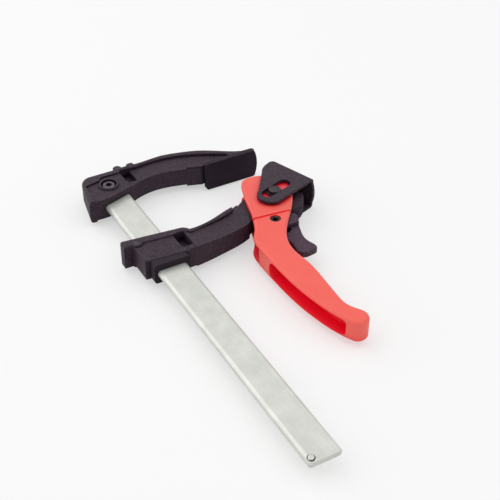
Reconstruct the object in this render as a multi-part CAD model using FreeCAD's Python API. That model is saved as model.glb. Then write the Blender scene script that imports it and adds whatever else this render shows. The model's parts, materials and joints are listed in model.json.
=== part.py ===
import FreeCAD, Part
import math
import os

# Quick release bar clamp. Millimetres. Origin: centre of the fixed jaw's clamping face.
# X runs away from the bar, Y from the bar's free end to the fixed jaw, Z through the thickness.
# Every piece is symmetrical about Z = 0.

V = FreeCAD.Vector
UP = V(0, 0, 1)

# Bar
bar_width = 20.0
bar_thick = 5.0
bar_edge_round = 2.45
bar_free_length = 255.3
bar_head_length = 29.5
throat = 76.0
bar_end_chamfer = 0.9
stop_pin_radius = 1.7
stop_pin_inset = 2.8
stop_pin_stand = 0.9
stop_ring_radius = 2.3
stop_ring_depth = 0.8

# Fixed jaw
jaw_half = 8.35
fixed_web_half = 6.3
panel_depth = 1.0
edge_round = 0.9
long_edge = 22.0
heel_round = 2.6
rim_width = 3.3
heel_reach = 11.3
heel_back = 29.8
window_width = 7.6
window_web = 3.0
boss_radius = 3.0
lock_pin_radius = 1.5
screw_radius = 2.5
screw_head_radius = 4.25
screw_head_height = 3.5
screw_head_floor = 4.0
screw_hex_width = 4.0
screw_from_bar_edge = 9.0
screw_along = 14.3
counterbore_radius = 5.3
screw_ring_radius = 7.0
nut_width = 8.0
nut_height = 4.0
bar_hole_clearance = 0.25

# Pad on the fixed jaw
pad_left = 20.5
pad_right = 17.6
pad_bulge = 2.1
pad_half = 10.5
pad_thick = 4.0
pad_seat_depth = 1.6

# Sliding arm
pin_x = 4.5
pin_y = -50.3
panel_reach = 5.0
slide_clearance = 0.3
sleeve_wall = 1.2
sleeve_half = 6.85
sleeve_overhang = 2.2
sleeve_foot = -81.5
sleeve_top = -62.5
grip_pin_radius = 2.0
lower_grip_pin_radius = 1.6
grip_gap = 0.1
drag_spring_half = 1.4
tongue_half = 5.3
tongue_radius = 17.4
web_end_radius = 27.4
tooth_tip_radius = 19.4
tooth_depth = 1.2
tooth_pitch = 7.5
tooth_first = -98.0
tooth_count = 11

# Pins and bushes on the lever's pivot
pivot_radius = 3.0
pivot_half = 11.6
pivot_clearance = 0.05
lever_bush_radius = 4.6
slot_bush_radius = 4.0
slot_bush_flange_radius = 5.6

# Lever
head_half = 8.5
handle_half = 7.6
head_round = 1.2
handle_round = 2.0
cheek_gap_half = 5.6
channel_half = 5.75
channel_end_round = 5.0
cam_top = 25.15
cam_slope = 6.0
cam_last_angle = 25.0
trigger_pin_x = -13.6
trigger_pin_y = -24.3
trigger_pin_radius = 2.6
trigger_pin_bore_radius = 2.0
trigger_pin_head_radius = 3.5
trigger_pin_head_height = 0.5
trigger_pin_half = 7.0
trigger_hole_radius = 3.7

# Trigger and pawl
trigger_half = 5.0
trigger_tail_half = 2.2
trigger_boss_radius = 5.6
trigger_clearance = 0.05
spring_gap_half = 2.6
spring_wire_radius = 0.4
spring_coil_radius = 3.15
pawl_half = 3.0
pawl_rivet_radius = 1.1

# Pressure plate, measured from the pivot pin: u along the face's normal, v along the face
plate_half = 11.65
plate_sheet = 2.0
plate_face = 27.45
plate_turn = 19.1
plate_low = -11.0
plate_high = 23.4
plate_bend = 2.4
plate_bulge = 1.5
slot_half_width = 4.25
slot_back = -6.8
slot_front = 9.8

bar_in = -throat
bar_out = -throat - bar_width

# Throat for which the arms' curves were drawn, and a length past every face
drawn_throat = 76.0
BIG = 200.0


def outline(start, *steps):
    """Closed plan wire. Two numbers: a straight edge. Four: an arc. A list: a curve through it."""
    here = V(start[0], start[1], 0)
    first = here
    edges = []
    for step in steps:
        if isinstance(step, list):
            curve = Part.BSplineCurve()
            curve.interpolate([here] + [V(x, y, 0) for x, y in step])
            edges.append(curve.toShape())
            here = V(step[-1][0], step[-1][1], 0)
            continue
        end = V(step[-2], step[-1], 0)
        if len(step) == 2:
            edges.append(Part.makeLine(here, end))
        else:
            edges.append(Part.Arc(here, V(step[0], step[1], 0), end).toShape())
        here = end
    if here.distanceToPoint(first) > 1e-6:
        edges.append(Part.makeLine(here, first))
    return Part.Wire(edges)


def smooth_loop(points):
    """Closed curve without corners through the points."""
    curve = Part.BSplineCurve()
    curve.interpolate([V(x, y, 0) for x, y in points], PeriodicFlag=True)
    return Part.Wire([curve.toShape()])


def slab(wire, half, low=None):
    """Plate of the wire's outline from -half to half, or from low to half."""
    bottom = -half if low is None else low
    plate = Part.Face(wire).extrude(V(0, 0, half - bottom))
    plate.translate(V(0, 0, bottom))
    return plate


def block(x0, x1, y0, y1, z0, z1):
    return Part.makeBox(x1 - x0, y1 - y0, z1 - z0, V(x0, y0, z0))


def rod(radius, x, y, z0, z1):
    return Part.makeCylinder(radius, z1 - z0, V(x, y, z0), UP)


def both_faces(shape):
    """The shape and its mirror image in the middle plane."""
    return shape.fuse(shape.mirror(V(0, 0, 0), UP))


def level_edges(shape, level):
    """Edges that lie wholly at plus or minus the level."""
    found = []
    for edge in shape.Edges:
        box = edge.BoundBox
        if box.ZLength < 1e-4 and abs(abs(box.ZMin) - level) < 1e-4:
            found.append(edge)
    return found


def eased(shape, level, radius, shortest=0.0):
    """The shape with the edges of its top and bottom faces rounded, but for any too short."""
    edges = [edge for edge in level_edges(shape, level) if edge.Length > shortest]
    return shape.makeFillet(radius, edges)


def one_solid(shape):
    """The cleaned-up shape as a single solid."""
    return shape.removeSplitter().Solids[0]


def polar(radius, angle):
    turn = math.radians(angle)
    return radius * math.cos(turn), radius * math.sin(turn)


def beside_pin(shape):
    """Moves a shape drawn about the pivot pin to the pin's place on the clamp."""
    shape.translate(V(pin_x, pin_y, 0))
    return shape


def hexagon(width, x, y, z0, z1):
    corner = width / math.sqrt(3)
    points = [polar(corner, 60 * step) for step in range(6)]
    wire = outline((points[0][0] + x, points[0][1] + y), *[(px + x, py + y) for px, py in points[1:]])
    return slab(wire, z1, z0)


def arm_curve(*points):
    """Points between bar and jaw face, moved to suit the throat that is set."""
    return [(x * throat / drawn_throat, y) for x, y in points]


def bar_section(gap, y0, y1):
    """Room for the bar from y0 to y1, larger than the bar by the gap all round."""
    half = bar_thick / 2 + gap
    shape = block(bar_out - gap, bar_in + gap, y0, y1, -half, half)
    long_edges = [edge for edge in shape.Edges if edge.BoundBox.YLength > y1 - y0 - 0.01]
    return shape.makeFillet(bar_edge_round, long_edges)


def make_bar():
    bar = bar_section(0, -bar_free_length, bar_head_length)
    end_edges = [edge for edge in bar.Edges if edge.BoundBox.YMax < -bar_free_length + 0.01]
    bar = bar.makeChamfer(bar_end_chamfer, end_edges)
    bar = bar.cut(rod(screw_radius + bar_hole_clearance, screw_x, screw_along, -BIG, BIG))
    ring = rod(stop_ring_radius, stop_x, stop_y, bar_thick / 2 - stop_ring_depth, BIG)
    bar = bar.cut([ring, ring.mirror(V(0, 0, 0), UP)])
    return one_solid(bar.cut(rod(stop_pin_radius, stop_x, stop_y, -BIG, BIG)))


def make_stop_pin():
    reach = bar_thick / 2 + stop_pin_stand
    pin = rod(stop_pin_radius, stop_x, stop_y, -reach, reach)
    return eased(pin, reach, 0.5)


def make_fixed_jaw():
    heel = slab(outline(
        (bar_out - heel_reach, -0.8),
        (bar_out - 6.69, 23.32),
        (bar_out - 3.93, 27.96, bar_out + 1.17, heel_back),
        (bar_in + 2, heel_back),
        (bar_in + 2, 5.6),
        (bar_out + 10, 1.7),
        (bar_out + 2, -0.8)), jaw_half)
    outside = []
    for edge in level_edges(heel, jaw_half):
        middle = edge.CenterOfMass
        if middle.x < bar_out - 2 and middle.y > 0 or middle.y > heel_back - 0.1:
            outside.append(edge)
    heel = heel.makeFillet(heel_round, outside)
    panel = slab(outline(
        (bar_out - 6.8, -4),
        (bar_out - 5.9, 18.4),
        (bar_out + 4.8, 20.9),
        (bar_out + 7, 23.6, bar_out + 10.5, 24.1),
        (bar_in + 4, 24.1),
        (bar_in + 4, -4)), BIG, jaw_half - panel_depth)
    heel = heel.cut(both_faces(panel))
    web = slab(outline(
        (bar_in + 1, heel_back - 2),
        (bar_in + 14, 28.0),
        arm_curve((-54.7, 28.2), (-40.7, 29.0), (-28.1, 26.6), (-17.7, 23.4), (-5.9, 17.1))
        + [(5.4, 9.8), (13.4, 6.4)],
        (18.0, 6.4),
        (19.2, 5.9, 19.4, pad_thick),
        (pad_right - 2, pad_thick),
        (pad_right - 2, pad_thick - pad_seat_depth),
        (-pad_left + 2.5, pad_thick - pad_seat_depth),
        (-pad_left + 2.5, pad_thick),
        (-pad_left - 2, pad_thick),
        arm_curve((-30, 6.9), (-38, 9.2), (-48, 11.2), (-58, 11.2))
        + [(bar_in + 8, 8.7), (bar_in + 1, 5.2)]),
        fixed_web_half)
    rim = slab(outline(
        (bar_in + 11.8, 29.1),
        arm_curve((-54.7, 29.1), (-40.7, 29.8), (-28.1, 27.4), (-17.7, 24.2), (-5.9, 17.9))
        + [(5.4, 10.6), (13.6, 7.2)],
        (18.4, 7.2),
        (19.5, 6.2, 19.6, pad_thick),
        (1.0, pad_thick),
        (1.2, 7.4, -1.5, 10.6),
        arm_curve((-11.9, 16.4), (-28.4, 23.4), (-44.4, 26.2)) + [(bar_in + 13.6, 25.2)],
        (bar_in + 11.8, 25.2)), jaw_half)
    rim = eased(rim, jaw_half, edge_round, long_edge)
    jaw = heel.fuse([web, rim])
    ledge = slab(outline((-32, 7.7), (-21.5, pad_thick + 0.2), (-17, 6), (-31, 10.5)), fixed_web_half + 1.2)
    jaw = jaw.fuse(ledge)
    boss = rod(boss_radius, bar_in + 1.6, heel_back - 0.4, -jaw_half, jaw_half)
    knuckle = block(bar_in + 8.6, bar_in + 13.8, 25.5, heel_back + 1.7, -jaw_half, jaw_half)
    uprights = [edge for edge in knuckle.Edges if edge.BoundBox.ZLength > jaw_half]
    knuckle = knuckle.makeFillet(1.6, uprights)
    bridge = block(bar_in + 1.0, bar_in + 10.5, 25.9, heel_back - 0.2, -jaw_half, jaw_half)
    jaw = jaw.fuse([eased(boss, jaw_half, 0.6), eased(knuckle, jaw_half, 0.7), eased(bridge, jaw_half, 1.2)])
    ring = rod(screw_ring_radius, screw_x, screw_along, -jaw_half, jaw_half)
    jaw = jaw.fuse(eased(ring, jaw_half, 0.5))
    window = block(bar_in + 1.2, bar_in + 1.2 + window_width, 11.7, 26.2, window_web / 2, BIG)
    window = window.makeFillet(1.2, [edge for edge in window.Edges if edge.BoundBox.ZLength > 1])
    jaw = jaw.cut(both_faces(window))
    jaw = jaw.cut(bar_section(0, -20, bar_head_length))
    jaw = jaw.cut(bar_section(0.2, bar_head_length, BIG))
    jaw = jaw.cut(rod(lock_pin_radius, lock_pin_x, heel_back - 0.6, -BIG, BIG))
    jaw = jaw.cut(rod(screw_radius, screw_x, screw_along, -BIG, BIG))
    jaw = jaw.cut(rod(counterbore_radius, screw_x, screw_along, screw_head_floor, BIG))
    jaw = jaw.cut(hexagon(nut_width, screw_x, screw_along, -BIG, -screw_head_floor))
    return one_solid(jaw)


def make_pad():
    pad = slab(Part.Wire([
        Part.makeLine(V(-pad_left, -pad_half, 0), V(pad_right, -pad_half, 0)),
        Part.Arc(V(pad_right, -pad_half, 0), V(pad_right + pad_bulge, 0, 0),
                 V(pad_right, pad_half, 0)).toShape(),
        Part.makeLine(V(pad_right, pad_half, 0), V(-pad_left, pad_half, 0)),
        Part.makeLine(V(-pad_left, pad_half, 0), V(-pad_left, -pad_half, 0))]), pad_thick, 0)
    uprights = [edge for edge in pad.Edges if edge.BoundBox.ZLength > pad_thick - 0.01]
    pad = pad.makeFillet(2.0, uprights)
    rims = [edge for edge in pad.Edges if edge.BoundBox.ZMin > pad_thick - 0.01]
    pad = pad.makeFillet(0.8, rims)
    pad.rotate(V(0, 0, 0), V(1, 0, 0), 90)
    pad = pad.mirror(V(0, 0, 0), V(0, 1, 0))
    seat = block(-pad_left + 2.5, pad_right - 2, pad_thick - pad_seat_depth, BIG,
                 -fixed_web_half, fixed_web_half)
    return one_solid(pad.cut(seat))


def make_screw():
    top = screw_head_floor + screw_head_height
    head = rod(screw_head_radius, screw_x, screw_along, screw_head_floor, top)
    head = head.makeFillet(0.5, [edge for edge in head.Edges if edge.BoundBox.ZMin > top - 0.01])
    foot = -screw_head_floor - nut_height + 0.4
    shank = rod(screw_radius, screw_x, screw_along, foot, screw_head_floor)
    socket = hexagon(screw_hex_width, screw_x, screw_along, top - 2.4, BIG)
    return one_solid(head.fuse(shank).cut(socket))


def make_nut():
    nut = hexagon(nut_width, screw_x, screw_along, -screw_head_floor - nut_height, -screw_head_floor)
    return one_solid(nut.cut(rod(screw_radius, screw_x, screw_along, -BIG, BIG)))


def lower_block_edge():
    """The slanted lower edge of the arm's block, from its left end to the arm."""
    return (bar_out - panel_reach, -74.7), (bar_in + 1, -77.1)


def make_arm():
    left, right = lower_block_edge()
    panel = slab(outline(
        left,
        (bar_out - panel_reach, -56),
        (bar_in + 11, -57.5),
        (bar_in + 11, -76.8),
        right), jaw_half - panel_depth)
    panel = eased(panel, jaw_half - panel_depth, edge_round)
    flange = slab(outline(
        (bar_out - heel_reach, -57.0),
        (bar_out - heel_reach, -51.9),
        (bar_out - 10.4, -50.3, bar_out - 8.5, -50.1),
        (bar_in + 9.5, -54.4),
        (bar_in + 12.2, -56.2, bar_in + 13.5, -58.2),
        (bar_in + 13.5, -61.6),
        (bar_in + 8.6, -59.0),
        (bar_out + 19, -58.9),
        (bar_out + 1.6, -57.3)), jaw_half)
    flange = eased(flange, jaw_half, edge_round)
    pin_boss = rod(grip_pin_radius + 1.8, upper_grip_x, upper_grip_y, -jaw_half, jaw_half)
    pin_boss = pin_boss.common(block(-BIG, bar_in, -BIG, -51.2, -BIG, BIG))
    arm_top = arm_curve((-54.6, -57.9), (-44.3, -55.4), (-33.9, -51.7), (-27.9, -49.9))
    rim = slab(outline(
        (bar_in + 12, -58.0),
        arm_top,
        arm_curve((-28.6, -53.2))[0],
        arm_curve((-30.7, -54.2), (-45.9, -58.6), (-61.0, -61.6)),
        (bar_in + 12, -61.6)), jaw_half)
    rim = eased(rim, jaw_half, edge_round, long_edge)
    web = slab(outline(
        (bar_in + 9, -58.6),
        (bar_in + 12, -58.0),
        arm_top,
        (-14, -43.8),
        (-14, -62),
        (-21.2, -66.5),
        (-25.2, -69.0),
        arm_curve((-30, -71.0), (-36, -72.7), (-51, -75.3))
        + [(bar_in + 15, -76.5), (bar_in + 9, -76.8)]),
        jaw_half)
    sides = Part.Wire(Part.makePolygon([
        V(bar_in, 0, -7.6), V(bar_in, 0, 7.6), V(-66, 0, 7.6), V(-43, 0, 6.5), V(-22, 0, 6.2),
        V(0, 0, 6.2), V(0, 0, -6.2), V(-22, 0, -6.2), V(-43, 0, -6.5), V(-66, 0, -7.6),
        V(bar_in, 0, -7.6)]))
    taper = Part.Face(sides).extrude(V(0, -BIG, 0))
    web = web.common(taper)
    sweep_room = beside_pin(rod(web_end_radius, 0, 0, -BIG, BIG))
    lever_room = slab(outline((-21.0, -60), (-24.9, -69.2), (-10, -80), (-10, -40), (-20, -40)), BIG)
    web = web.cut(sweep_room)
    web = web.cut(lever_room)
    rim = rim.cut(sweep_room)
    tongue = slab(outline(
        (-31, -53),
        [(-23.6, -48.6), (-15, -42.9)],
        (pin_x - 12, pin_y + 10.4),
        (pin_x, pin_y + 10.4),
        (pin_x, pin_y - 12),
        (pin_x - 14, pin_y - 12),
        [(-20, -64.5), (-25.2, -68.2), (-31, -70.5)]), tongue_half)
    disc = beside_pin(rod(tongue_radius, 0, 0, -tongue_half, tongue_half))
    tongue = tongue.fuse([disc, beside_pin(slab(tooth_outline(), tongue_half))])
    arm = panel.fuse([flange, pin_boss, rim, web, tongue])
    window = block(bar_in + 1.3, bar_in + 9, -72.8, -58.5, window_web / 2, BIG)
    window = window.makeFillet(1.2, [edge for edge in window.Edges if edge.BoundBox.ZLength > 1])
    arm = arm.cut(both_faces(window))
    arm = arm.cut(bar_section(slide_clearance, -BIG, 0))
    arm = arm.cut(bar_section(slide_clearance + sleeve_wall, -BIG, sleeve_top))
    arm = arm.cut(rod(grip_pin_radius, upper_grip_x, upper_grip_y, -BIG, BIG))
    arm = arm.cut(rod(lower_grip_pin_radius, lower_grip_x, lower_grip_y, -BIG, BIG))
    arm = arm.cut(drag_spring_shape())
    arm = arm.cut(beside_pin(rod(pivot_radius + pivot_clearance, 0, 0, -BIG, BIG)))
    return one_solid(arm)


def tooth_outline():
    """Sector with saw teeth on its rim, drawn about the pivot pin."""
    steps = []
    for tooth in range(tooth_count):
        angle = tooth_first + tooth * tooth_pitch
        steps.append(polar(tooth_tip_radius - tooth_depth, angle + 0.5))
        steps.append(polar(tooth_tip_radius, angle + tooth_pitch))
    return outline((0, 0), *steps)


def drag_spring_shape():
    """Leaf spring beside the bar's inner edge, bowed towards the bar."""
    left = bar_in + slide_clearance
    wire = outline(
        (left + 0.55, -61.5),
        (left - 0.15, -66.3, left + 0.55, -71.1),
        (left + 1.05, -71.1),
        (left + 0.35, -66.3, left + 1.05, -61.5))
    return slab(wire, drag_spring_half)


def make_sleeve():
    spigot = bar_section(slide_clearance + sleeve_wall, -77.5, sleeve_top)
    collar = block(bar_out - sleeve_overhang, bar_in + sleeve_overhang, sleeve_foot, -72,
                   -sleeve_half, sleeve_half)
    long_edges = [edge for edge in collar.Edges if edge.BoundBox.YLength > 5]
    collar = collar.makeFillet(2.2, long_edges)
    left, right = lower_block_edge()
    slope = (right[1] - left[1]) / (right[0] - left[0])
    above = slab(outline(
        (left[0] - 10, left[1] - 10 * slope),
        (right[0] + 20, right[1] + 20 * slope),
        (right[0] + 20, 0),
        (left[0] - 10, 0)), BIG)
    collar = collar.cut(above)
    sleeve = collar.fuse(spigot).cut(bar_section(slide_clearance, -BIG, 0))
    sleeve = sleeve.cut(rod(lower_grip_pin_radius, lower_grip_x, lower_grip_y, -BIG, BIG))
    spring_room = drag_spring_half + 0.2
    return one_solid(sleeve.cut(block(bar_in - 0.5, bar_in + 5, -72.2, -58, -spring_room, spring_room)))


def make_pivot_pin():
    pin = rod(pivot_radius, 0, 0, -pivot_half, pivot_half)
    return beside_pin(eased(pin, pivot_half, 0.4))


def make_slot_bushes():
    """One flanged bush in each of the pressure plate's two slots."""
    inner = plate_half - plate_sheet
    bush = rod(slot_bush_radius, 0, 0, inner - 0.75, plate_half)
    bush = bush.fuse(rod(slot_bush_flange_radius, 0, 0, inner - 0.75, inner - 0.15))
    bush = beside_pin(bush.cut(rod(pivot_radius, 0, 0, -BIG, BIG)))
    return Part.makeCompound([bush, bush.mirror(V(0, 0, 0), UP)])


def make_lever_bushes():
    """One plain bush in each of the lever's two cheeks."""
    bush = rod(lever_bush_radius, 0, 0, cheek_gap_half, head_half)
    bush = beside_pin(bush.cut(rod(pivot_radius + pivot_clearance, 0, 0, -BIG, BIG)))
    return Part.makeCompound([bush, bush.mirror(V(0, 0, 0), UP)])


def cam_point(angle):
    """Point of the cam whose tangent stands square to the angle, drawn about the pivot pin."""
    reach = cam_top - cam_slope * math.radians(90 - angle)
    turn = math.radians(angle)
    x = reach * math.cos(turn) - cam_slope * math.sin(turn)
    y = reach * math.sin(turn) + cam_slope * math.cos(turn)
    return x, y


def lever_wire():
    cam_steps = 5
    step = (90 - cam_last_angle) / (cam_steps - 1)
    cam = [cam_point(cam_last_angle + step * number) for number in range(cam_steps)]
    left_side = [(-11.6, 23.4), (-15.2, 17.5), (-17.8, 10.5), (-20.3, 3.4), (-22.5, -4.2),
                 (-24.6, -12.1), (-27.5, -20.3), (-31.4, -28.4), (-36.0, -35.2), (-37.7, -44.0),
                 (-38.1, -66.0), (-36.6, -94.2), (-34.1, -109.2), (-30.8, -122.0), (-26.8, -131.5),
                 (-23.9, -135.3)]
    tip = [(-20.6, -136.0), (-16.9, -134.9), (-14.5, -131.2), (-14.6, -127.2), (-17.4, -122.4)]
    outer_side = [(-20.1, -115.8), (-20.2, -108.5), (-18.9, -92.0), (-18.3, -72.0), (-19.5, -59.0),
                  (-18.6, -50.5), (-13.6, -38.6), (-7.0, -29.4), (0.6, -20.2), (8.8, -8.6),
                  (13.6, 2.6)]
    return smooth_loop(cam + left_side + tip + outer_side)


def make_lever():
    wire = lever_wire()
    step_line = outline((-60, -14.2), (40, -25.8), (40, 60), (-60, 60))
    upper = slab(step_line, BIG)
    head = eased(slab(wire, head_half), head_half, head_round).common(upper)
    handle = eased(slab(wire, handle_half), handle_half, handle_round).cut(upper)
    lever = head.fuse(handle)
    slot = slab(outline(
        (-60, -45.5),
        (-33, -45.5),
        (-30.5, -47, -28, -45.5),
        (-23, -44),
        (-22.4, -61),
        (-21.6, -65, -18, -66.5),
        (40, -66.5),
        (40, 60),
        (-60, 60)), cheek_gap_half)
    lever = lever.cut(slot)
    channel = slab(outline(
        (-60, -58.5),
        (-33.5, -58.5),
        (-30.6, -59.7, -29.2, -63),
        [(-28.2, -80), (-27.2, -95), (-25.8, -108), (-24.0, -118)],
        (-23.0, -125.0, -27.5, -128.6),
        (-60, -131)), channel_half)
    mouth = block(-BIG, BIG, -129.8, -58.5, -channel_half, channel_half)
    mouth = mouth.makeFillet(channel_end_round, [edge for edge in mouth.Edges if edge.BoundBox.XLength > 1])
    channel = channel.common(mouth)
    lever = lever.cut(channel)
    lever = lever.cut(rod(lever_bush_radius, 0, 0, -BIG, BIG))
    seat = trigger_pin_half - trigger_pin_head_height
    lever = lever.cut(both_faces(rod(trigger_hole_radius, trigger_pin_x, trigger_pin_y, seat, BIG)))
    lever = lever.cut(rod(trigger_pin_radius, trigger_pin_x, trigger_pin_y, -BIG, BIG))
    return beside_pin(lever.Solids[0])


def make_trigger_pin():
    """Hollow rivet with a flat head in each cheek's recess."""
    seat = trigger_pin_half - trigger_pin_head_height
    pin = rod(trigger_pin_radius, trigger_pin_x, trigger_pin_y, -seat, seat)
    head = rod(trigger_pin_head_radius, trigger_pin_x, trigger_pin_y, seat, trigger_pin_half)
    pin = eased(pin.fuse(both_faces(head)), trigger_pin_half, 0.2)
    pin = pin.cut(rod(trigger_pin_bore_radius, trigger_pin_x, trigger_pin_y, -BIG, BIG))
    return beside_pin(one_solid(pin))


def pawl_outline():
    """Outline of the hardened nose, drawn about the pivot pin."""
    return outline((-1.6, -21.4), (1.4, -19.8), (2.2, -20.3), (1.9, -25.4), (-2.2, -25.4))


def make_trigger():
    px = trigger_pin_x
    py = trigger_pin_y
    wire = smooth_loop([
        (px - trigger_boss_radius, py),
        (px - 3.8, py + 4.1),
        (px + 1.0, py + trigger_boss_radius),
        (-5.5, -21.0),
        (1.2, -20.9),
        (2.6, -23.6),
        (1.0, -29.2),
        (-1.7, -36.4),
        (-3.7, -44.2),
        (-3.2, -49.6),
        (-1.9, -54.0),
        (-2.4, -57.2),
        (-6.5, -58.5),
        (-12.2, -58.4),
        (-14.9, -55.4),
        (-14.2, -49.0),
        (-14.6, -42.0),
        (-16.6, -34.0)])
    upper = block(-BIG, BIG, -31, BIG, -BIG, BIG)
    body = eased(slab(wire, trigger_tail_half), trigger_tail_half, 0.8)
    body = body.fuse(eased(slab(wire, trigger_half), trigger_half, 0.6).common(upper))
    coil_room = rod(trigger_boss_radius + 1.0, px, py, -spring_gap_half, spring_gap_half)
    leg_room = slab(outline(
        (px, py), (px - 2, py - 22), (px + 9, py - 22), (px + 6, py)), spring_gap_half)
    leg_room = leg_room.common(rod(11.5, px, py, -BIG, BIG))
    body = body.cut(coil_room)
    body = body.cut(leg_room)
    body = body.cut(slab(pawl_outline(), pawl_half))
    body = body.cut(rod(trigger_pin_radius + trigger_clearance, px, py, -BIG, BIG))
    body = body.cut(rod(pawl_rivet_radius, pawl_rivet_x, pawl_rivet_y, -BIG, BIG))
    return beside_pin(one_solid(body))


def make_pawl():
    pawl = slab(pawl_outline(), pawl_half)
    return beside_pin(one_solid(pawl.cut(rod(pawl_rivet_radius, pawl_rivet_x, pawl_rivet_y, -BIG, BIG))))


def make_pawl_rivet():
    rivet = rod(pawl_rivet_radius, pawl_rivet_x, pawl_rivet_y, -trigger_half - 0.3, trigger_half + 0.3)
    return beside_pin(eased(rivet, trigger_half + 0.3, 0.3))


def make_trigger_spring():
    """Torsion spring round the trigger's pin: one wire with a coil and two legs."""
    coil_height = 3.6
    turns = 3.25
    helix = Part.makeHelix(coil_height / turns, coil_height, spring_coil_radius)
    start = helix.Vertexes[0].Point
    finish = helix.Vertexes[-1].Point
    turn = math.radians(360 * turns)
    first_leg = Part.makeLine(start + V(0, -10.5, 0), start)
    last_leg = Part.makeLine(finish, finish + V(-math.sin(turn), math.cos(turn), 0) * 4.5)
    path = Part.Wire([first_leg, helix.Edges[0], last_leg])
    profile = Part.Wire([Part.makeCircle(spring_wire_radius, start + V(0, -10.5, 0), V(0, 1, 0))])
    spring = path.makePipeShell([profile], True, True)
    spring.translate(V(trigger_pin_x, trigger_pin_y, -coil_height / 2))
    return beside_pin(spring.Solids[0])


def make_plate():
    inner = plate_half - plate_sheet
    body = slab(outline(
        (plate_face, plate_low),
        (plate_face, plate_high - 4.0),
        (plate_face - 1.6, plate_high - 0.6, plate_face - 4.4, plate_high + 1.1),
        (18.0, 24.0),
        (13.8, 22.6, 10.0, 20.0),
        (4.5, 15.9),
        (-8.4, 6.9),
        (-15.2, -1.2, -8.6, plate_low)), plate_half)
    bends = [edge for edge in body.Edges
             if edge.BoundBox.XMin > plate_face - 0.01 and edge.BoundBox.YLength > 20]
    body = body.makeFillet(plate_bend, bends)
    hollow = block(-BIG, plate_face - plate_sheet, -BIG, BIG, -inner, inner)
    body = body.cut(hollow)
    slot = block(slot_back, slot_front, -slot_half_width, slot_half_width, -BIG, BIG)
    slot = slot.fuse([rod(slot_half_width, slot_back, 0, -BIG, BIG),
                      rod(slot_half_width, slot_front, 0, -BIG, BIG)])
    body = body.cut(slot)
    side = plate_half - plate_bend
    body = body.fuse(web_end(side))
    body.rotate(V(0, 0, 0), UP, plate_turn)
    return beside_pin(one_solid(body))


def web_end(side):
    """Rounded lower end of the plate's web, as far as side each way from the middle."""
    back = plate_face - plate_sheet
    root = plate_low + 0.5
    crown = plate_low - plate_bulge
    face = Part.Face(Part.Wire([
        Part.Arc(V(back, root, -side), V(back, crown, 0), V(back, root, side)).toShape(),
        Part.makeLine(V(back, root, side), V(back, root, -side))]))
    return face.extrude(V(plate_sheet, 0, 0))


def make_grip_pin(radius, x, y, half):
    return eased(rod(radius, x, y, -half, half), half, 0.3)


screw_x = bar_out + screw_from_bar_edge
stop_x = bar_out + stop_pin_inset
stop_y = -bar_free_length + stop_pin_inset
lock_pin_x = bar_in + lock_pin_radius
upper_grip_x = bar_out - grip_pin_radius - grip_gap
upper_grip_y = -55.6
lower_grip_x = bar_in + lower_grip_pin_radius + grip_gap
lower_grip_y = -74.8
pawl_rivet_x = 0.0
pawl_rivet_y = -23.4

pieces = {
    "bar": make_bar(),
    "bar_end_stop": make_stop_pin(),
    "fixed_jaw": make_fixed_jaw(),
    "fixed_jaw_pad": make_pad(),
    "fixed_jaw_screw": make_screw(),
    "fixed_jaw_nut": make_nut(),
    "fixed_jaw_lock_pin": make_grip_pin(lock_pin_radius, lock_pin_x, heel_back - 0.6, jaw_half),
    "sliding_arm": make_arm(),
    "guide_sleeve": make_sleeve(),
    "upper_grip_pin": make_grip_pin(grip_pin_radius, upper_grip_x, upper_grip_y, jaw_half),
    "lower_grip_pin": make_grip_pin(lower_grip_pin_radius, lower_grip_x, lower_grip_y,
                                    jaw_half - panel_depth),
    "drag_spring": drag_spring_shape(),
    "pivot_pin": make_pivot_pin(),
    "slot_bushes": make_slot_bushes(),
    "pressure_plate": make_plate(),
    "lever": make_lever(),
    "lever_bushes": make_lever_bushes(),
    "trigger_pin": make_trigger_pin(),
    "trigger": make_trigger(),
    "trigger_spring": make_trigger_spring(),
    "pawl": make_pawl(),
    "pawl_rivet": make_pawl_rivet(),
}

os.makedirs("parts", exist_ok=True)
for name, shape in pieces.items():
    shape.exportStep("parts/" + name + ".step")
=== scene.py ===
import json
import math

import bpy
from mathutils import Matrix, Vector


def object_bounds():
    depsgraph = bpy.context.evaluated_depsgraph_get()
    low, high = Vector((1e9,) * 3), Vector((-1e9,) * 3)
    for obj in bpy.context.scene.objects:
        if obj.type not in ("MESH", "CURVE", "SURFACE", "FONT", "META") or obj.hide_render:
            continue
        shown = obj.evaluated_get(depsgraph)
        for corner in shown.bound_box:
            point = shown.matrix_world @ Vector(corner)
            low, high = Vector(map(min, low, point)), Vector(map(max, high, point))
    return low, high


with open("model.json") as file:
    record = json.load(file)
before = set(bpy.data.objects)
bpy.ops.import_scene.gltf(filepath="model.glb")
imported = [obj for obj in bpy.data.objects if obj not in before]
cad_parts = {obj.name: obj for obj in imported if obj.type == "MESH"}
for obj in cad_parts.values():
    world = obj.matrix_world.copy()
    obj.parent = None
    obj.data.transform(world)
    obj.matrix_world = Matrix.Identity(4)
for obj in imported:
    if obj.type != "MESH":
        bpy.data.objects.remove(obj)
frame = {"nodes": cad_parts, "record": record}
box_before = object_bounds()

# The photo's camera in the clamp's own frame, in metres
SWING = math.radians(29.3)
TILT = math.radians(37.13)
DISTANCE = 0.6455
TARGET = Vector((-0.0332, -0.0842, -0.00265))
# Its focal length and the photo's width in pixels, and its sensor's width in millimetres
FOCAL_PIXELS = 1020
PHOTO_PIXELS = 500
SENSOR = 36.0

# The floor lies just under the clamp's lowest face
FLOOR_GAP = 0.00002
FLOOR_SIZE = 8
# How much of the floor's brightness is plain white to the camera
FLOOR_GLOW = 0.5

# The lamps point near the clamp's middle
LIT_PLACE = Vector((-0.03, -0.08, 0))

# Strength of the white surroundings where they light something, and where they are seen
LIGHTING = 0.5
SEEN = 1.0

WHITE = (1, 1, 1)
UP = Vector((0, 0, 1))

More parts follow.
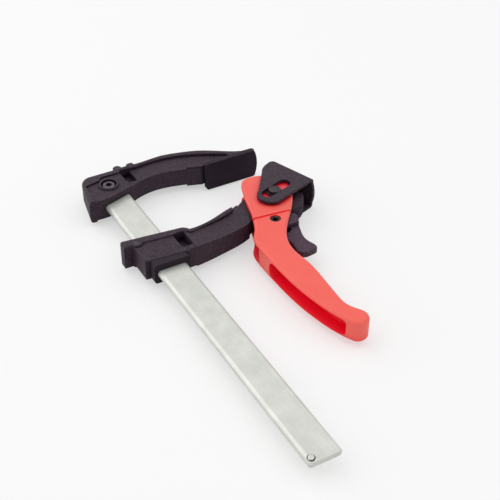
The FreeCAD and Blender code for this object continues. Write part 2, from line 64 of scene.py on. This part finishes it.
# A noise's values mostly lie in the first range. Most cloudy colours change over the second
NOISE_RANGE = (0.3, 0.7)
CLOUD_RANGE = (0.35, 0.7)

# How open a place is to its surroundings where the painted shade of a hollow starts, and where it is
# full
HOLLOW_STARTS = 0.80
HOLLOW_FULL = 0.45

# Sockets of the mixing nodes by number, because their names repeat
COLOUR_MIX_INPUTS = (0, 6, 7)
COLOUR_MIX_RESULT = 2
SHADER_MIX_INPUTS = (0, 1, 2)


class Nodes:
    """The node tree of a material or a world, with short ways to add to it."""

    def __init__(self, owner):
        owner.use_nodes = True
        self.tree = owner.node_tree

    def feed(self, socket, value):
        """Gives a socket a number, a vector or a colour, or links it to another node's output."""
        if isinstance(value, bpy.types.NodeSocket):
            self.tree.links.new(value, socket)
        elif isinstance(value, tuple) and socket.type == "RGBA":
            socket.default_value = (*value, 1)
        else:
            socket.default_value = value

    def add(self, kind, **values):
        """New node. Each value goes to the node's property of that name, or else to its input."""
        node = self.tree.nodes.new(kind)
        for key, value in values.items():
            if hasattr(node, key):
                setattr(node, key, value)
            else:
                self.feed(node.inputs[key.replace("_", " ")], value)
        return node

    def add_numbered(self, kind, numbers, sources, **values):
        """New node whose inputs are told apart by number."""
        node = self.add(kind, **values)
        for number, source in zip(numbers, sources):
            self.feed(node.inputs[number], source)
        return node

    def arithmetic(self, operation, *sources):
        return self.add_numbered("ShaderNodeMath", (0, 1), sources, operation=operation).outputs["Value"]

    def mix_shaders(self, *sources):
        """Blends two shaders. The factor comes first, then the shader where it is 0."""
        return self.add_numbered("ShaderNodeMixShader", SHADER_MIX_INPUTS, sources).outputs["Shader"]


class Finish(Nodes):
    """One procedural material. Its sizes are in metres, its scales in waves per metre."""

    def __init__(self, name):
        self.material = bpy.data.materials.new(name)
        super().__init__(self.material)
        self.shader = self.tree.nodes["Principled BSDF"]
        self.place = self.add("ShaderNodeTexCoord").outputs["Object"]
        self.relief = None

    def stretched(self, scale):
        """The object's own place, stretched to run the grain along one way."""
        return self.add("ShaderNodeMapping", Vector=self.place, Scale=scale).outputs["Vector"]

    def noise(self, scale, detail, rough, place=None):
        node = self.add("ShaderNodeTexNoise", Vector=place or self.place,
                        Scale=scale, Detail=detail, Roughness=rough)
        return node.outputs["Fac"]

    def remap(self, value, start, stop, lowest=0.0, highest=1.0):
        """Lowest where the value is at its start, highest where it is at its stop."""
        node = self.add("ShaderNodeMapRange", Value=value,
                        From_Min=start, From_Max=stop, To_Min=lowest, To_Max=highest)
        return node.outputs["Result"]

    def spread(self, noise, lowest, highest):
        """Lowest to highest over the range of a noise."""
        return self.remap(noise, *NOISE_RANGE, lowest, highest)

    def hollows(self, reach):
        """Near 1 deep in grooves and channels, 0 in the open. It masks the shade painted into hollows.
        """
        shade = self.add("ShaderNodeAmbientOcclusion", samples=8, Distance=reach)
        return self.remap(shade.outputs["AO"], HOLLOW_STARTS, HOLLOW_FULL)

    def mix(self, *sources):
        """Blends two colours. The factor comes first, then the colour where it is 0."""
        node = self.add_numbered("ShaderNodeMix", COLOUR_MIX_INPUTS, sources, data_type="RGBA")
        return node.outputs[COLOUR_MIX_RESULT]

    def shade(self, socket, value):
        """Sets one of the surface's own values."""
        self.feed(self.shader.inputs[socket], value)

    def bump(self, height, depth, strength):
        """Adds relief on top of the relief that the surface has by now."""
        node = self.add("ShaderNodeBump", Height=height, Distance=depth, Strength=strength)
        if self.relief:
            self.feed(node.inputs["Normal"], self.relief)
        self.relief = node.outputs["Normal"]
        self.shade("Normal", self.relief)


def zinc(name):
    """Zinc-plated flat stock: pale, soft sheen, faint rolling streaks and cloudy patches."""
    dull = (0.590, 0.602, 0.562)
    pale = (0.690, 0.700, 0.655)
    streak = (0.53, 0.54, 0.50)
    painted_shade = (0.10, 0.10, 0.095)
    finish = Finish(name)
    streaks = finish.noise(scale=900, detail=4, rough=0.6, place=finish.stretched((1.0, 0.03, 1.0)))
    clouds = finish.noise(scale=90, detail=6, rough=0.66)
    grain = finish.noise(scale=2600, detail=2, rough=0.6)
    tone = finish.mix(finish.remap(clouds, 0.36, 0.66), dull, pale)
    tone = finish.mix(finish.remap(streaks, 0.40, 0.75, highest=0.4), tone, streak)
    # Painted shade: the darkest colour darkens the zinc in its grooves and recesses, where shade falls
    finish.shade("Base Color", finish.mix(finish.hollows(reach=0.0016), tone, painted_shade))
    finish.shade("Metallic", 0.45)
    finish.shade("Roughness", finish.spread(grain, 0.34, 0.48))
    finish.bump(streaks, depth=0.00004, strength=0.35)
    finish.bump(grain, depth=0.00002, strength=0.35)
    return finish.material


def coated_casting(name, lift=1.0):
    """Black powder coat on a rough casting: warm charcoal, fine pebble, with painted shade in its
    hollows.

    A lift above 1 makes the coat paler.
    """
    deep = tuple(lift * value for value in (0.018, 0.009, 0.016))
    warm = tuple(lift * value for value in (0.031, 0.017, 0.029))
    rubbed = tuple(lift * value for value in (0.058, 0.036, 0.054))
    shadow = (0.007, 0.003, 0.007)
    finish = Finish(name)
    pebble = finish.noise(scale=900, detail=3, rough=0.6)
    lumps = finish.noise(scale=260, detail=4, rough=0.6)
    clouds = finish.noise(scale=40, detail=4, rough=0.6)
    tone = finish.mix(finish.remap(clouds, *CLOUD_RANGE), deep, warm)
    tone = finish.mix(finish.remap(pebble, 0.42, 0.62, highest=0.8), tone, rubbed)
    # Painted shade: the shadow colour darkens the coat in its hollows and recesses, where shade falls
    finish.shade("Base Color", finish.mix(finish.hollows(reach=0.005), tone, shadow))
    finish.shade("Roughness", finish.spread(lumps, 0.50, 0.66))
    finish.shade("Specular IOR Level", 0.24)
    finish.bump(lumps, depth=0.0004, strength=0.6)
    finish.bump(pebble, depth=0.0004, strength=0.9)
    return finish.material


def black_plastic(name):
    """Moulded black plastic with a fine matt spark finish."""
    deep = (0.009, 0.004, 0.010)
    warm = (0.017, 0.009, 0.018)
    spark_tip = (0.030, 0.018, 0.031)
    finish = Finish(name)
    spark = finish.noise(scale=1500, detail=2, rough=0.5)
    clouds = finish.noise(scale=120, detail=4, rough=0.6)
    tone = finish.mix(finish.remap(clouds, *CLOUD_RANGE), deep, warm)
    finish.shade("Base Color", finish.mix(finish.remap(spark, 0.45, 0.65, highest=0.6), tone, spark_tip))
    finish.shade("Roughness", finish.spread(spark, 0.50, 0.66))
    finish.shade("Specular IOR Level", 0.20)
    finish.bump(spark, depth=0.0001, strength=0.6)
    return finish.material


def red_enamel(name):
    """Coral red baked enamel: soft gloss with orange peel, and painted shade of deeper red in its
    hollows.
    """
    coral = (0.940, 0.125, 0.098)
    pale_coral = (0.980, 0.150, 0.115)
    fleck = (0.90, 0.105, 0.088)
    painted_shade_red = (0.92, 0.002, 0.030)
    finish = Finish(name)
    peel = finish.noise(scale=420, detail=2, rough=0.45)
    fine = finish.noise(scale=1900, detail=2, rough=0.5)
    clouds = finish.noise(scale=30, detail=4, rough=0.55)
    tone = finish.mix(finish.remap(clouds, *CLOUD_RANGE), coral, pale_coral)
    tone = finish.mix(finish.remap(fine, 0.4, 0.75, highest=0.35), tone, fleck)
    # Painted shade: a deep crimson darkens the enamel in its channel and hollows, where shade falls
    finish.shade("Base Color", finish.mix(finish.hollows(reach=0.020), tone, painted_shade_red))
    finish.shade("Roughness", finish.spread(peel, 0.36, 0.48))
    finish.shade("Specular IOR Level", 0.36)
    finish.bump(peel, depth=0.00006, strength=0.35)
    finish.bump(fine, depth=0.00003, strength=0.4)
    return finish.material


def steel(name, dark, light, smoothest, roughest):
    """Turned or drawn steel with fine machining marks and small stains."""
    finish = Finish(name)
    marks = finish.noise(scale=3200, detail=3, rough=0.6, place=finish.stretched((1.0, 1.0, 0.08)))
    stains = finish.noise(scale=240, detail=5, rough=0.65)
    finish.shade("Base Color", finish.mix(finish.remap(stains, *CLOUD_RANGE), dark, light))
    finish.shade("Metallic", 0.85)
    finish.shade("Roughness", finish.spread(marks, smoothest, roughest))
    finish.bump(marks, depth=0.00003, strength=0.3)
    return finish.material


FINISHES = {
    "zinc_bar": zinc("zinc_bar"),
    "black_coating": coated_casting("black_coating"),
    "black_plastic": black_plastic("black_plastic"),
    "red_enamel": red_enamel("red_enamel"),
    "dark_steel": steel("dark_steel", dark=(0.040, 0.034, 0.038), light=(0.085, 0.075, 0.080),
                        smoothest=0.38, roughest=0.54),
    "screw_steel": steel("screw_steel", dark=(0.052, 0.043, 0.050), light=(0.16, 0.14, 0.155),
                         smoothest=0.28, roughest=0.44),
    "spring_steel": steel("spring_steel", dark=(0.40, 0.40, 0.40), light=(0.52, 0.52, 0.51),
                          smoothest=0.24, roughest=0.40),
}

# The trigger's coat is paler than the castings'
OWN_FINISHES = {"trigger": coated_casting("pale_coating", lift=1.8)}


def paint_nodes():
    """Gives every CAD node its own finish, or else the finish of its material slot."""
    slots = {part["node"]: part["material_slot"] for part in frame["record"]["subparts"]}
    for name, piece in frame["nodes"].items():
        piece.data.materials.clear()
        piece.data.materials.append(OWN_FINISHES.get(name) or FINISHES[slots[name]])


def set_up(name, data, place, target):
    """Puts a camera or a lamp at its place, level and turned to its target."""
    thing = bpy.data.objects.new(name, data)
    bpy.context.collection.objects.link(thing)
    forward = (target - place).normalized()
    side = forward.cross(UP).normalized()
    turn = Matrix((side, side.cross(forward), -forward)).transposed()
    thing.matrix_world = Matrix.Translation(place) @ turn.to_4x4()
    return thing


def photo_camera():
    data = bpy.data.cameras.new("camera")
    data.sensor_width = SENSOR
    data.lens = FOCAL_PIXELS / PHOTO_PIXELS * SENSOR
    data.clip_start = 0.05
    data.clip_end = 20
    away = Vector((-math.sin(SWING) * math.cos(TILT), -math.cos(SWING) * math.cos(TILT), math.sin(TILT)))
    bpy.context.scene.camera = set_up("camera", data, TARGET + away * DISTANCE, TARGET)


def paper():
    """Pale floor, part of it plain white to the camera, which keeps the clamp's shadow soft."""
    finish = Finish("paper")
    fibre = finish.noise(scale=300, detail=4, rough=0.6)
    sheet = finish.mix(finish.spread(fibre, 0.0, 1.0), (0.965, 0.965, 0.965), (0.975, 0.975, 0.975))
    finish.shade("Base Color", sheet)
    finish.shade("Roughness", 0.9)
    finish.shade("Specular IOR Level", 0.1)
    finish.bump(fibre, depth=0.00002, strength=0.2)
    path = finish.add("ShaderNodeLightPath")
    glow = finish.add("ShaderNodeEmission", Color=WHITE, Strength=1.0)
    share = finish.arithmetic("MULTIPLY", path.outputs["Is Camera Ray"], FLOOR_GLOW)
    surface = finish.mix_shaders(share, finish.shader.outputs["BSDF"], glow.outputs["Emission"])
    finish.feed(finish.tree.nodes["Material Output"].inputs["Surface"], surface)
    return finish.material


def lay_floor():
    level = box_before[0][2] - FLOOR_GAP
    bpy.ops.mesh.primitive_plane_add(size=FLOOR_SIZE, location=(0, 0, level))
    floor = bpy.context.object
    floor.name = "floor"
    floor.data.materials.append(paper())


def round_lamp(name, place, size, watts):
    data = bpy.data.lights.new(name, "AREA")
    data.shape = "DISK"
    data.size = size
    data.energy = watts
    set_up(name, data, Vector(place), LIT_PLACE)


def white_surroundings():
    """Plain white to the camera and in reflections, and gentler as a light."""
    world = bpy.data.worlds.new("world")
    bpy.context.scene.world = world
    nodes = Nodes(world)
    nodes.tree.nodes.clear()
    path = nodes.add("ShaderNodeLightPath")
    light = nodes.add("ShaderNodeBackground", Color=WHITE, Strength=LIGHTING)
    view = nodes.add("ShaderNodeBackground", Color=WHITE, Strength=SEEN)
    seen = nodes.arithmetic("MAXIMUM", path.outputs["Is Camera Ray"], path.outputs["Is Glossy Ray"])
    surface = nodes.mix_shaders(seen, light.outputs["Background"], view.outputs["Background"])
    nodes.add("ShaderNodeOutputWorld", Surface=surface)


paint_nodes()
photo_camera()
lay_floor()
round_lamp("key", place=(-1.0, 0.9, 1.3), size=3.4, watts=25.5)
round_lamp("fill", place=(0.6, -0.7, 1.4), size=2.4, watts=8.0)
white_surroundings()
bpy.context.scene.view_settings.view_transform = "Standard"
